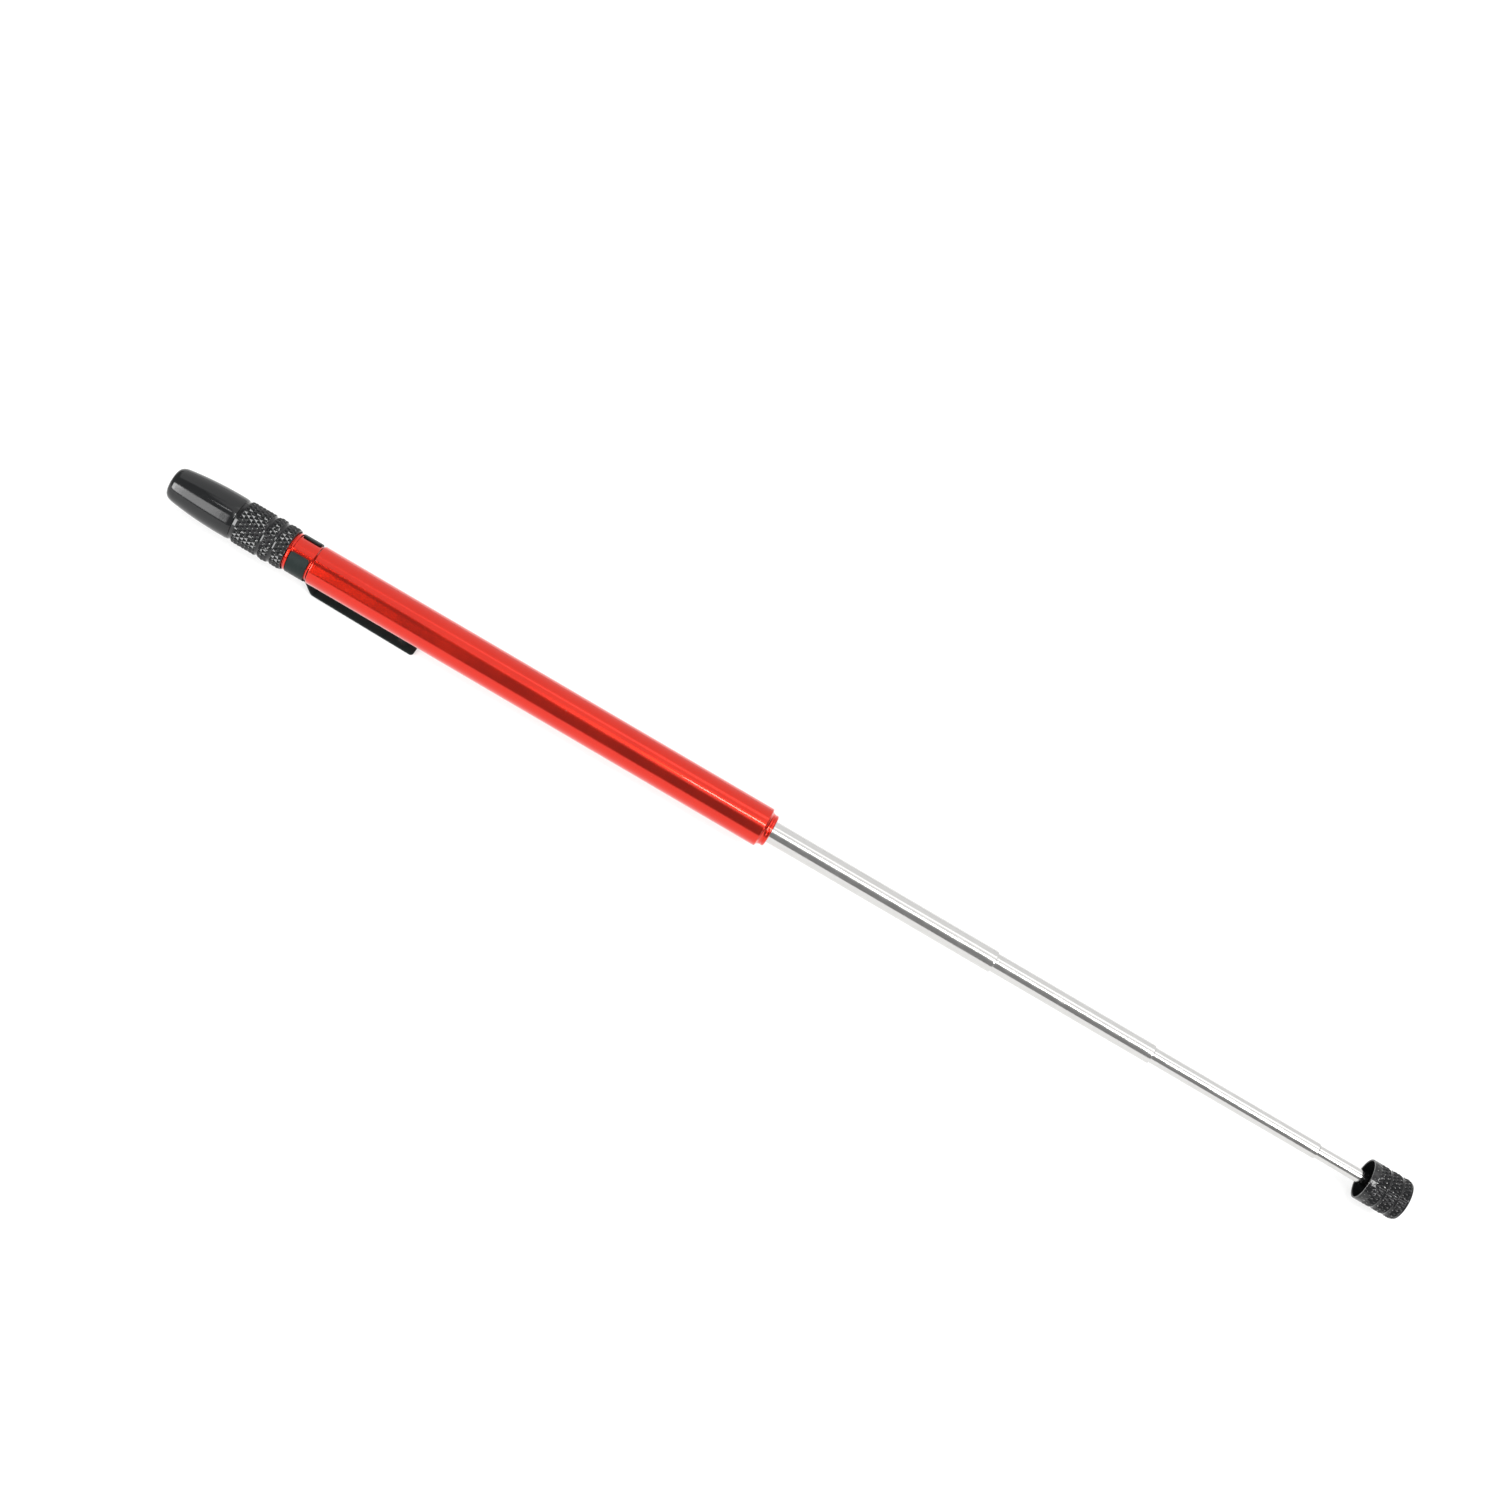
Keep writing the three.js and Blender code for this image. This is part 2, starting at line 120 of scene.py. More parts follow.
ROOM_LEVEL = 0.32
BACKDROP_LEVEL = 0.93
FLOOR_REACH = 3.0
FLOOR_GAP = 0.0002
FLOOR_GLOW = 0.57


def add_light(name, place, target, width, height, radiance, turn=0.0):
    """A rectangular light, as bright as radiance says, where 1 is the white of the picture."""
    lamp = bpy.data.lights.new(name, "AREA")
    lamp.shape = "RECTANGLE"
    lamp.size = width
    lamp.size_y = height
    lamp.energy = radiance * math.pi * width * height
    light = bpy.data.objects.new(name, lamp)
    light.location = place
    facing = (Vector(target) - Vector(place)).to_track_quat("-Z", "Y").to_matrix()
    light.rotation_euler = (Matrix.Rotation(turn, 3, "Z") @ facing).to_euler()
    light.visible_camera = False
    bpy.context.scene.collection.objects.link(light)


def add_lights():
    add_light("overhead_box", (0.32, 0, 1.0), (0.32, 0, 0), 1.34, 1.02, 0.87, math.radians(30))
    add_light("back_panel", (0, 0.75, 0.53), (0, 0.13, -0.19), 1.8, 1.45, 0.8)
    add_light("left_box", (-0.99, -0.95, 0.52), (-0.99, 0, 0), 1.21, 0.85, 5.5)
    add_light("left_core", (-1.2, -0.94, 0.56), (-1.2, 0, 0.04), 0.8, 0.95, 7)
    add_light("left_spot", (-0.385, -0.31, 0.95), (-0.385, -0.31, 0), 0.1, 0.05, 10)
    add_light("right_strip", (0.4, -0.34, 0.95), (0.4, -0.34, 0), 0.86, 0.11, 15)
    add_light("right_box", (0.62, -0.57, 0.95), (0.2, 0, 0), 0.35, 0.45, 13)


def add_world():
    """A dim room for the reflections, which the camera sees as a pale backdrop."""
    world = bpy.data.worlds.new("room")
    bpy.context.scene.world = world
    world.use_nodes = True
    nodes, links = world.node_tree.nodes, world.node_tree.links
    background = nodes["Background"]
    path = nodes.new("ShaderNodeLightPath")
    shade = nodes.new("ShaderNodeMapRange")
    links.new(path.outputs["Is Camera Ray"], shade.inputs["Value"])
    shade.inputs["To Min"].default_value = ROOM_LEVEL
    shade.inputs["To Max"].default_value = BACKDROP_LEVEL
    links.new(shade.outputs["Result"], background.inputs["Strength"])
    background.inputs["Color"].default_value = (1, 1, 1, 1)


def add_floor():
    """A pale, faintly mottled floor, just under the lowest point of the tool."""
    reach = FLOOR_REACH
    corners = [(-reach, -reach, 0), (reach, -reach, 0), (reach, reach, 0), (-reach, reach, 0)]
    mesh = bpy.data.meshes.new("floor")
    mesh.from_pydata(corners, [], [(0, 1, 2, 3)])
    floor = bpy.data.objects.new("floor", mesh)
    floor.location.z = cad_box[0][2] - FLOOR_GAP
    bpy.context.scene.collection.objects.link(floor)
    glow = {"Emission Color": (1, 1, 1, 1), "Emission Strength": FLOOR_GLOW}
    look = Look("pale_floor", {**glow, "Specular IOR Level": 0.1})
    mottle = look.noise((2, 2, 2), 3)
    paper = look.mix(mottle, (0.40, 0.40, 0.397), (0.44, 0.44, 0.437))
    look.finish(paper, look.remap(mottle, 0.3, 0.7, 0.7, 0.8))
    mesh.materials.append(look.material)


# ---- Materials ----

# How worn a place is when metal starts to show through a finish, and when it is bare
WEAR_STARTS = 0.36
WEAR_BARE = 0.52


class Look:
    """A procedural material. Its textures are in millimetres from the torch's tip and the tool's axis."""

    def __init__(self, name, values=None):
        self.material = bpy.data.materials.new(name)
        self.material.use_nodes = True
        self.tree = self.material.node_tree
        self.shader = self.tree.nodes["Principled BSDF"]
        for socket, value in (values or {}).items():
            self.shader.inputs[socket].default_value = value
        from_tip = {"Location": (-TIP / MM, 0, -AXIS_Z / MM), "Scale": (1 / MM, 1 / MM, 1 / MM)}
        place = self.node("TexCoord")["Object"]
        self.place = self.node("Mapping", {"Vector": place, **from_tip})["Vector"]

    def node(self, kind, inputs=None, **settings):
        """A new node's outputs. An input is a value or another node's output."""
        node = self.tree.nodes.new("ShaderNode" + kind)
        for name, value in settings.items():
            setattr(node, name, value)
        for socket, value in (inputs or {}).items():
            if isinstance(value, bpy.types.NodeSocket):
                self.tree.links.new(value, node.inputs[socket])
            else:
                node.inputs[socket].default_value = value
        return node.outputs

    def noise(self, density, detail=2.0, roughness=0.5):
        """Noise with so many spots to a millimetre along the tool, across it and up."""
        place = self.node("VectorMath", {0: self.place, 1: density}, operation="MULTIPLY")["Vector"]
        inputs = {"Vector": place, "Scale": 1.0, "Detail": detail, "Roughness": roughness}
        return self.node("TexNoise", inputs)["Fac"]

    def remap(self, value, low, high, to_low, to_high):
        limits = {"Value": value, "From Min": low, "From Max": high, "To Min": to_low, "To Max": to_high}
        return self.node("MapRange", limits)["Result"]

    def math(self, operation, first, second):
        return self.node("Math", {0: first, 1: second}, operation=operation)["Value"]

    def mix(self, factor, first, second):
        colours = [c if isinstance(c, bpy.types.NodeSocket) else (*c, 1) for c in (first, second)]
        return self.node("Mix", {0: factor, 6: colours[0], 7: colours[1]}, data_type="RGBA")[2]

    def bump(self, height, depth, under=None):
        """A bumpy surface, so many millimetres deep, on top of another one."""
        inputs = {"Height": height, "Distance": depth * MM, "Strength": 1.0}
        if under is not None:
            inputs["Normal"] = under
        return self.node("Bump", inputs)["Normal"]

    def wear(self, patches):
        """Where the finish has gone from edges and crests, in patches."""
        edges = self.node("Attribute", attribute_name="wear")["Fac"]
        return self.remap(self.math("MULTIPLY", edges, patches), WEAR_STARTS, WEAR_BARE, 0.0, 1.0)

    def finish(self, base, roughness, normal=None, metallic=None):
        given = {"Base Color": base, "Roughness": roughness, "Normal": normal, "Metallic": metallic}
        for socket, value in given.items():
            if value is not None:
                self.tree.links.new(value, self.shader.inputs[socket])
        return self.material


def black_anodised():
    look = Look("black_anodised", {"IOR": 1.5, "Specular IOR Level": 0.42})
    turned_marks = look.noise((9, 0.15, 0.15), 3, 0.7)
    clouds = look.noise((0.3, 0.3, 0.3), 3)
    patches = look.noise((0.9, 0.9, 0.9), 4, 0.7)
    worn = look.wear(patches)
    dye = look.mix(clouds, (0.005, 0.0055, 0.006), (0.008, 0.0085, 0.009))
    base = look.mix(worn, dye, (0.34, 0.34, 0.33))
    roughness = look.remap(look.math("ADD", clouds, turned_marks), 0.7, 1.3, 0.09, 0.16)
    grain = look.bump(look.noise((14, 14, 14), 2), 0.0012)
    return look.finish(base, roughness, look.bump(turned_marks, 0.003, grain), worn)


def red_anodised():
    look = Look("red_anodised", {"Metallic": 1.0, "Coat Weight": 0.65, "Coat Roughness": 0.045})
    clouds = look.noise((0.12, 0.12, 0.12), 3)
    turned_marks = look.noise((12, 0.1, 0.1), 3, 0.7)
    specks = look.remap(look.noise((2.6, 2.6, 2.6), 1), 0.82, 0.86, 0.0, 0.8)
    worn = look.math("MAXIMUM", look.wear(look.noise((1.1, 1.1, 1.1), 4, 0.7)), specks)
    dye = look.mix(clouds, (0.62, 0.016, 0.004), (0.69, 0.021, 0.0055))
    base = look.mix(worn, dye, (0.82, 0.5, 0.4))
    roughness = look.remap(look.math("ADD", clouds, turned_marks), 0.7, 1.3, 0.17, 0.23)
    waves = look.bump(look.noise((0.07, 0.1, 0.1), 1), 0.06)
    return look.finish(base, roughness, look.bump(turned_marks, 0.0015, waves))


def black_paint():
    look = Look("black_paint", {"IOR": 1.5, "Specular IOR Level": 0.14})
    clouds = look.noise((0.4, 0.4, 0.4), 3)
    worn = look.wear(look.noise((1.3, 1.3, 1.3), 4, 0.7))
    paint = look.mix(clouds, (0.007, 0.012, 0.0115), (0.011, 0.017, 0.016))
    base = look.mix(worn, paint, (0.3, 0.3, 0.3))
    roughness = look.remap(clouds, 0.3, 0.7, 0.32, 0.44)
    return look.finish(base, roughness, look.bump(look.noise((3.5, 3.5, 3.5), 2), 0.006), worn)


def chrome_plate():
    look = Look("chrome_plate", {"Metallic": 1.0})
    drawn = look.noise((0.06, 6, 6), 3, 0.6)
    smears = look.noise((0.35, 0.5, 0.5), 4, 0.6)
    base = look.mix(smears, (0.55, 0.545, 0.535), (0.63, 0.625, 0.615))
    roughness = look.remap(smears, 0.3, 0.7, 0.1, 0.2)
    waves = look.bump(look.noise((0.12, 0.3, 0.3), 1), 0.02)
    return look.finish(base, roughness, look.bump(drawn, 0.0015, waves))


def nickel_plate():
    look = Look("nickel_plate", {"Metallic": 1.0})
    rings = look.noise((0.8, 3.5, 3.5), 3)
    smears = look.noise((0.5, 0.4, 0.4), 4, 0.6)
    base = look.mix(smears, (0.50, 0.49, 0.46), (0.61, 0.60, 0.57))
    roughness = look.remap(look.math("ADD", rings, smears), 0.7, 1.3, 0.16, 0.34)
    return look.finish(base, roughness, look.bump(rings, 0.003))


def turned_brass():
    look = Look("turned_brass", {"Metallic": 1.0})
    tool_marks = look.noise((7, 0.1, 0.1), 3, 0.7)
    tarnish = look.noise((0.7, 0.7, 0.7), 4, 0.6)
    base = look.mix(tarnish, (0.70, 0.49, 0.20), (0.52, 0.33, 0.12))
    roughness = look.remap(tarnish, 0.3, 0.7, 0.22, 0.42)
    return look.finish(base, roughness, look.bump(tool_marks, 0.004))


def spring_metal(name, light, dark):
    look = Look(name, {"Metallic": 1.0})
    drawn = look.noise((4, 1.5, 1.5), 3)
    patches = look.noise((1.2, 1.2, 1.2), 3)
    base = look.mix(patches, light, dark)
    return look.finish(base, look.remap(patches, 0.3, 0.7, 0.24, 0.4), look.bump(drawn, 0.003))


def black_steel():
    look = Look("black_steel", {"Metallic": 0.6})
    scale = look.noise((1.5, 1.5, 1.5), 4, 0.6)
    base = look.mix(scale, (0.022, 0.022, 0.025), (0.055, 0.05, 0.05))
    return look.finish(base, look.remap(scale, 0.3, 0.7, 0.35, 0.55), look.bump(scale, 0.008))


def moulded_plastic(name, light, dark):
    look = Look(name, {"IOR": 1.49})
    flow = look.noise((0.2, 0.6, 0.6), 3)
    base = look.mix(flow, light, dark)
    grain = look.bump(look.noise((5, 5, 5), 2), 0.004)
    return look.finish(base, look.remap(flow, 0.3, 0.7, 0.38, 0.52), grain)


def clear_epoxy():
    look = Look("clear_epoxy", {"Transmission Weight": 1.0, "IOR": 1.52})
    haze = look.noise((0.6, 0.6, 0.6), 3)
    tint = look.mix(haze, (0.95, 0.97, 1.0), (0.98, 0.99, 1.0))
    return look.finish(tint, look.remap(haze, 0.3, 0.7, 0.02, 0.06), look.bump(haze, 0.01))


def phosphor():
    look = Look("phosphor", {"Emission Color": (1.0, 0.93, 0.75, 1), "Emission Strength": 0.35})
    grains = look.noise((12, 12, 12), 2)
    base = look.mix(grains, (0.78, 0.62, 0.12), (0.86, 0.74, 0.25))
    return look.finish(base, look.remap(grains, 0.3, 0.7, 0.6, 0.8), look.bump(grains, 0.01))


# ---- Making meshes ----

def set_wear(mesh, wear):
    layer = mesh.attributes.get("wear") or mesh.attributes.new("wear", "FLOAT", "POINT")
    layer.data.foreach_set("value", np.asarray(wear, np.float32))


def new_piece(name, points, faces, smooth=True, wear=None):
    """A mesh piece from points in millimetres. smooth may be given for each face."""
    mesh = bpy.data.meshes.new(name)
    mesh.from_pydata(to_frame(points).tolist(), [], faces)
    mesh.polygons.foreach_set("use_smooth", np.broadcast_to(smooth, len(faces)))
    if wear is not None:
        set_wear(mesh, wear)
    mesh.update()
    piece = bpy.data.objects.new(name, mesh)
    bpy.context.scene.collection.objects.link(piece)
    return piece


def dress(piece, body, slot, material=None):
    """Puts a finished piece on its CAD body and gives it the finish of a record slot."""
    piece.data.materials.append(material or FINISHES[slot])
    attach(piece, body)


def stands_for(piece, node):
    """The piece takes the place of a CAD node: its body, its slot and the slot's finish."""
    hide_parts(node)
    dress(piece, BODY[node], SLOT[node])


# The share of a straight stretch that a fillet at one of its ends may take
FILLET_SHARE = 0.45


def rounded(corners, closed=True, steps=4, hold=0.04):
    """Rows of (station, radius, wear) along an outline whose corners are rounded off. A corner is
    (station, radius, fillet, wear), the last two optional. Each straight stretch gets a row close to
    its ends, so that its shading stays flat."""
    full = [tuple(c) + (0.0,) * (4 - len(c)) for c in corners]
    arcs = []
    for i, (station, radius, fillet, wear) in enumerate(full):
        here = Vector((station, radius))
        at_end = not closed and i in (0, len(full) - 1)
        if fillet == 0 or radius == 0 or at_end:
            arcs.append([(here, wear)])
            continue
        before = Vector(full[i - 1][:2]) - here
        after = Vector(full[(i + 1) % len(full)][:2]) - here
        start = here + before.normalized() * min(fillet, FILLET_SHARE * before.length)
        end = here + after.normalized() * min(fillet, FILLET_SHARE * after.length)
        shares = [k / steps for k in range(steps + 1)]
        arcs.append([
            (start * (1 - t) ** 2 + here * 2 * t * (1 - t) + end * t ** 2, wear * math.sin(math.pi * t))
            for t in shares
        ])
    rows = []
    for i, arc in enumerate(arcs):
        rows += [(point.x, point.y, wear) for point, wear in arc]
        if i == len(arcs) - 1 and not closed:
            break
        last, first = arc[-1][0], arcs[(i + 1) % len(arcs)][0][0]
        length = (first - last).length
        along_axis = last.y == 0 and first.y == 0
        if length > 4 * hold and not along_axis:
            for share in (hold / length, 1 - hold / length):
                point = last.lerp(first, share)
                rows.append((point.x, point.y, 0.0))
    return rows


def arc_between(start, control, end, steps):
    """Corners along a quadratic curve between two (station, radius) points, without its first point."""
    a, b, c = Vector(start), Vector(control), Vector(end)
    shares = [k / steps for k in range(1, steps + 1)]
    return [tuple(a * (1 - t) ** 2 + b * 2 * t * (1 - t) + c * t ** 2) for t in shares]


def turned(name, rows, columns=96, closed=True):
    """A piece turned about the tool's axis. A row is (station, radius, wear) and may end with a phase of
    0 or 0.5 columns; radius and wear may be arrays with a value for each column. Rows run along the
    outside first, in +X, and then back. Rows of different phase are joined by flat triangles whose
    edges run along both diagonals."""
    angles = np.arange(columns) * TAU / columns
    points, wear, index, phases = [], [], [], []
    for station, radius, worn, *phase in rows:
        phases.append(phase[0] if phase else 0.0)
        first = len(points)
        if np.isscalar(radius) and radius == 0:
            points.append((station, 0.0, 0.0))
            wear.append(worn)
            index.append([first] * columns)
            continue
        turn = angles + phases[-1] * TAU / columns
        points += zip([station] * columns, radius * np.cos(turn), radius * np.sin(turn))
        wear += list(np.broadcast_to(worn, columns))
        index.append(list(range(first, first + columns)))
    faces, smooth = [], []
    for k in range(len(rows) if closed else len(rows) - 1):
        after = (k + 1) % len(rows)
        low, high = index[k], index[after]
        shift = phases[after] - phases[k]
        for j in range(columns):
            n = (j + 1) % columns
            if shift > 0:
                made = [(low[j], low[n], high[j]), (low[n], high[n], high[j])]
            elif shift < 0:
                made = [(low[j], high[n], high[j]), (low[j], low[n], high[n])]
            else:
                made = [tuple(dict.fromkeys((low[j], low[n], high[n], high[j])))]
            made = [face for face in made if len(face) > 2]
            faces += made
            smooth += [shift == 0] * len(made)
    return new_piece(name, points, faces, smooth, wear)


def lathed(name, corners, columns=96):
    """A turned piece. With a bore its outline is closed, and without one it starts and ends on the axis."""
    has_bore = corners[0][1] > 0
    return turned(name, rounded(corners, has_bore), columns, has_bore)


def tidy_normals(piece):
    mesh = bmesh.new()
    mesh.from_mesh(piece.data)
    bmesh.ops.recalc_face_normals(mesh, faces=mesh.faces)
    mesh.to_mesh(piece.data)
    mesh.free()


def swept(name, path, section, reference, bevel=0.05):
    """A bar of one section along a path, with its two ends bevelled. The section's points are (across,
    up), where up leans towards the reference direction."""
    path = [Vector(p) for p in path]
    first_step = (path[1] - path[0]).normalized() * bevel
    last_step = (path[-2] - path[-1]).normalized() * bevel
    path = [path[0], path[0] + first_step, *path[1:-1], path[-1] + last_step, path[-1]]
    reach = max(math.hypot(*p) for p in section)
    points, last = [], len(path) - 1
    for i, here in enumerate(path):
        tangent = (path[min(i + 1, last)] - path[max(i - 1, 0)]).normalized()
        across = tangent.cross(Vector(reference)).normalized()
        up = across.cross(tangent)
        size = 1 - bevel / reach if i in (0, last) else 1
        points += [here + size * (u * across + v * up) for u, v in section]
    count = len(section)
    faces = [tuple(range(count)), tuple(range(last * count, (last + 1) * count))]
    for i in range(last):
        for j in range(count):
            n = (j + 1) % count
            faces.append((i * count + j, i * count + n, (i + 1) * count + n, (i + 1) * count + j))
    smooth = [False, False] + [True] * (len(faces) - 2)
    piece = new_piece(name, points, faces, smooth)
    tidy_normals(piece)
    return piece


def bar_section(width, height, fillet):
    """A rectangle with rounded corners, about its own middle."""
    w, h = width / 2, height / 2
    corners = [(-w, -h, fillet), (w, -h, fillet), (w, h, fillet), (-w, h, fillet)]
    return [(u, v) for u, v, _ in rounded(corners, steps=3, hold=0.02)]


def wire_section(radius, sides=12):
    return [(radius * math.cos(TAU * k / sides), radius * math.sin(TAU * k / sides)) for k in range(sides)]


def split_ring(name, node, bore, gap, steps=72):
    """A strip rolled round the axis, with a gap at its top."""
    start, end, radius = span(node)
    first = math.pi / 2 + gap / 2
    turns = [first + (TAU - gap) * k / steps for k in range(steps + 1)]
    middle = (radius + bore) / 2
    path = [((start + end) / 2, middle * math.cos(a), middle * math.sin(a)) for a in turns]
    sheet = radius - bore
    section = bar_section(sheet, end - start, 0.3 * sheet)
    ring = swept(name, path, section, (1, 0, 0), 0.2 * sheet)
    stands_for(ring, node)


# ---- Knurling ----

KNURL_HELIX = math.radians(30)
KNURL_DEPTH = 0.28
KNURL_FLAT = 0.88
KNURL_FOOT = 0.26
KNURL_FADE_POWER = 1.5
# How fast the wear falls off below the tops of the diamonds
KNURL_WEAR_FALL = 2.2
VALLEY_FILLET = 0.06


def knurled_band(crest, diamonds, columns, chamfer=0.22, fade=0.0):
    """Rows of a diamond knurl along a band. crest is a list of (station, radius) along the band's tops.
    The height is the lower one of two sets of ridges that wind opposite ways. The band has a chamfer at
    each end, or the knurl fades in over a length at its start. The tops of the diamonds take the wear."""
    stations, radii = zip(*crest)
    start, end = stations[0], stations[-1]
    step = max(radii) * math.pi / columns / math.tan(KNURL_HELIX)
    angles = np.arange(columns) * TAU / columns
    rows = []
    for k in range(int((end - start) / step) + 1):
        station = start + k * step
        phase = 0.5 * (k % 2)
        turn = angles + phase * TAU / columns
        climb = k * math.pi / columns
        ridges = [1 - abs(2 * (diamonds * (turn + way * climb) / TAU % 1) - 1) for way in (1, -1)]
        height = np.minimum(np.minimum(*ridges), KNURL_FLAT) / KNURL_FLAT
        top = np.interp(station, stations, radii)
        into = 0.0 if fade else 1 - (station - start) / chamfer
        edge = max(0.0, into, 1 - (end - station) / chamfer)
        blank = top - KNURL_FOOT * edge
        share = min(1.0, (station - start) / fade) if fade else 1.0
        depth = KNURL_DEPTH * share ** KNURL_FADE_POWER
        radius = np.minimum(blank, top + depth * (height - 1))
        rows.append((station, radius, np.clip(1 - KNURL_WEAR_FALL * (1 - height), 0, 1), phase))
    return rows


def valley(start, end, radius, depth):
    """Rows of the V groove that is turned between two knurled bands."""
    corners = [(start, radius), ((start + end) / 2, radius - depth, VALLEY_FILLET), (end, radius)]
    return rounded(corners, closed=False)


# ---- Torch head ----

HEAD_DIAMONDS = 30
HEAD_COLUMNS = 8 * HEAD_DIAMONDS
HEAD_BANDS = [(17.45, 23.45), (24.15, 26.45), (27.15, 29.75)]
HEAD_BULGE = 0.09
HEAD_VALLEY = 0.115
HEAD_BORE = 4.2
HEAD_MOUTH = 2.6
HEAD_THREAD_START = 17.4
HEAD_THREAD_ROOT = 4.6
HEAD_THREAD_RISE = 0.06
HEAD_HALF_TURNS = 33
LED_FLANGE = 1.05
LED_POCKET = 1.09
LED_POCKET_RADIUS = 3.0
THREAD_PITCH = 0.75


def torch_head():
    """A smooth nose, three knurled bands, of which the middle one swells, and a bore for the spigot."""
    _, rear, widest = span("torch_head")
    band = widest - HEAD_BULGE
    foot = band - KNURL_FOOT
    first, second, third = HEAD_BANDS
    front, cheek = (0, 3.1), (2.1, 4.15)
    full, full_end = (13.5, 5.0), (15.2, 5.0)
    nose = [
        (0, HEAD_MOUTH + 0.2), (*front, 0.1, 0.5),
        *arc_between(front, (0.4, 3.95), cheek, 8),
        *arc_between(cheek, (7.5, 4.95), full, 14), full_end,
        *arc_between(full_end, (16.1, 5.0), (16.5, 4.85), 6),
        (16.66, 4.6, 0.08), (16.76, 4.62, 0.05), (first[0] - 0.02, 4.84),
    ]
    shallow = band - 0.08
    ends = (second[0], shallow), (second[1], shallow)
    peak = ((second[0] + second[1]) / 2, widest + 0.17)
    swell = [ends[0], *arc_between(ends[0], peak, ends[1], 8)]
    last = band - 0.05
    rows = rounded(nose, closed=False)
    rows += knurled_band([(first[0], band), (first[1], band)], HEAD_DIAMONDS, HEAD_COLUMNS)
    rows += valley(first[1], second[0], foot, HEAD_VALLEY)
    rows += knurled_band(swell, HEAD_DIAMONDS, HEAD_COLUMNS)
    rows += valley(second[1], third[0], foot, HEAD_VALLEY)
    rows += knurled_band([(third[0], last), (third[1], last)], HEAD_DIAMONDS, HEAD_COLUMNS)
    rows += rounded([(third[1] + 0.02, foot), *head_bore(rear, foot)], closed=False)
    stands_for(turned("torch_head_shell", rows, HEAD_COLUMNS), "torch_head")


def head_bore(rear, rim):
    """Corners of the head's inside, from its rear rim to its mouth: rings in place of the hidden thread,
    the bore, the pocket for the LED's flange and the mouth."""
    shoulder = span("led_lens")[1] - LED_FLANGE
    pocket = shoulder + LED_POCKET
    rings = [
        (rear - 0.2 - 0.5 * THREAD_PITCH * k, HEAD_THREAD_ROOT - HEAD_THREAD_RISE * (k % 2))
        for k in range(HEAD_HALF_TURNS)
    ]
    return [
        (rear, rim, 0.05, 0.6), (rear, HEAD_THREAD_ROOT + 0.06, 0.03), *rings,
        (HEAD_THREAD_START, HEAD_THREAD_ROOT - 0.04), (HEAD_THREAD_START, HEAD_BORE, 0.05),
        (pocket, HEAD_BORE), (pocket, LED_POCKET_RADIUS), (shoulder, LED_POCKET_RADIUS),
        (shoulder, HEAD_MOUTH), (0.25, HEAD_MOUTH, 0.1),
    ]


# ---- Lamp ----

LED_DOME = 2.5
LED_CUP = 4.6
LEAD_OFFSET = 1.27
LEAD_WIDTH = 0.45
LEAD_SHEET = 0.25
LEAD_BEND = 0.3
ANODE_FOOT = -0.3


def led():
    """The clear dome, and in it the reflector cup on its post, the chip under its phosphor, and the
    second post with the bond wire."""
    tip, rear, flange = span("led_lens")
    centre = tip + LED_DOME
    quarter = [math.pi / 2 * k / 16 for k in range(17)]
    dome = [(centre - LED_DOME * math.cos(a), LED_DOME * math.sin(a)) for a in quarter]
    dome[0] = (tip, 0.0)
    front = rear - 1.0
    lens = lathed("led_dome", [
        *dome, (front, LED_DOME + 0.03), (front + 0.02, flange, 0.12), (rear, flange, 0.12), (rear, 0),
    ])
    stands_for(lens, "led_lens")
    cup = LED_CUP
    reflector = lathed("led_reflector", [
        (cup, 0.62), (cup, 0.85, 0.05), (cup + 0.75, 0.85, 0.1), (cup + 0.75, 0.3), (cup + 0.5, 0.3),
    ], 48)
    dress(reflector, "lamp", "spring_steel")
    cap = [(cup + 0.1 - 0.12 * math.cos(a), 0.64 * math.sin(a)) for a in quarter[::4]]
    cap[0] = (cap[0][0], 0.0)
    chip = lathed("led_chip", [*cap, (cup + 0.3, 0.5), (cup + 0.45, 0.28), (cup + 0.45, 0)], 48)
    dress(chip, "lamp", "clear_epoxy", PHOSPHOR)
    out = LEAD_OFFSET
    posts = {
        "led_cathode_post": [(cup + 0.7, 0, 0), (cup + 1.6, 0, -0.25), (cup + 2.6, 0, -out), (rear, 0, -out)],
        "led_anode_post": [(cup + 0.1, 0, out - 0.1), (cup + 1.4, 0, out), (rear, 0, out)],
    }
    for name, route in posts.items():
        post = swept(name, route, bar_section(LEAD_WIDTH, 0.6, 0.08), (0, 1, 0))
        dress(post, "lamp", "spring_steel")
    loop = [(cup + 0.1 - 0.5 * math.sin(math.pi * k / 12), 0, (out - 0.1) * k / 12) for k in range(13)]
    dress(swept("led_bond_wire", loop, wire_section(0.03, 8), (0, 1, 0), 0.01), "lamp", "turned_brass")


